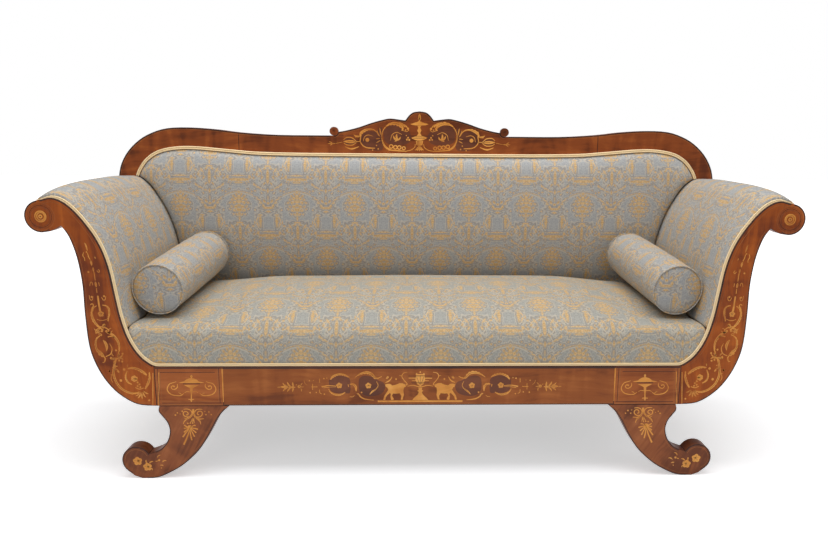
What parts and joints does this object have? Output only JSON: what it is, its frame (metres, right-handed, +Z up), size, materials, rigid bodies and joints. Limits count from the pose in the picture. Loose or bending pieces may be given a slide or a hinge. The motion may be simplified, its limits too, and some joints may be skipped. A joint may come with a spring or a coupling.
{
  "type": "recamier sofa",
  "caption": "Scroll-arm sofa with an inlaid show-wood frame, scroll legs, a serpentine crest with a shaped cresting, stuffed seat, back and arms in woven brocade with double piping, and two loose bolsters.",
  "frame": {"origin": "floor level under the middle of the sofa's bounding box", "axes": "+X along the sofa to the right as seen from the front, +Y from front to back, +Z up"},
  "size_m": [2.2, 0.64, 1.093],
  "materials": {
    "show_wood": "french polished rosewood and walnut with boxwood inlay",
    "inner_wood": "planed beech",
    "brocade": "blue-grey satin ground with gold figured weave",
    "piping": "cream double piping",
    "jute": "jute and horsehair",
    "steel": "plain"
  },
  "bodies": {
    "frame": {"front_seat_rail": "show_wood", "left_corner_block": "show_wood", "right_corner_block": "show_wood", "left_side_rail": "inner_wood", "right_side_rail": "inner_wood", "back_seat_rail": "inner_wood", "cross_rails": "inner_wood", "corner_braces": "inner_wood", "brace_screws": "steel", "frame_dowels": "inner_wood", "left_front_leg": "show_wood", "right_front_leg": "show_wood", "left_rear_leg": "show_wood", "right_rear_leg": "show_wood", "left_arm_facing": "show_wood", "right_arm_facing": "show_wood", "left_scroll_roundel": "show_wood", "right_scroll_roundel": "show_wood", "left_rear_post": "inner_wood", "right_rear_post": "inner_wood", "left_scroll_rail": "inner_wood", "right_scroll_rail": "inner_wood", "left_middle_arm_rail": "inner_wood", "right_middle_arm_rail": "inner_wood", "left_lower_arm_rail": "inner_wood", "right_lower_arm_rail": "inner_wood", "crest_rail": "show_wood", "left_shoulder": "show_wood", "right_shoulder": "show_wood", "cresting": "show_wood", "cresting_knobs": "show_wood", "back_stuffing_rail": "inner_wood", "back_uprights": "inner_wood", "seat_cross_webs": "jute", "seat_long_webs": "jute", "seat_hessian": "jute", "seat_stuffing": "jute", "seat_cushion": "brocade", "back_webbing": "jute", "back_cushion": "brocade", "outside_back_cloth": "brocade", "dust_cover": "jute", "left_arm_webbing": "jute", "right_arm_webbing": "jute", "left_arm_stuffing": "jute", "right_arm_stuffing": "jute", "left_arm_cushion": "brocade", "right_arm_cushion": "brocade", "left_scroll_padding": "brocade", "right_scroll_padding": "brocade", "left_outside_arm_cloth": "brocade", "right_outside_arm_cloth": "brocade", "front_piping": "piping", "back_piping": "piping"},
    "left_bolster": {"left_bolster_case": "brocade", "left_bolster_pad": "jute", "left_bolster_welts": "brocade"},
    "right_bolster": {"right_bolster_case": "brocade", "right_bolster_pad": "jute", "right_bolster_welts": "brocade"}
  },
  "joints": [
    {"name": "left_bolster_lift", "type": "slide", "parent": "frame", "child": "left_bolster", "axis": [0, 0, 1], "range_m": [0, 0.64]},
    {"name": "right_bolster_lift", "type": "slide", "parent": "frame", "child": "right_bolster", "axis": [0, 0, 1], "range_m": [0, 0.64]}
  ]
}
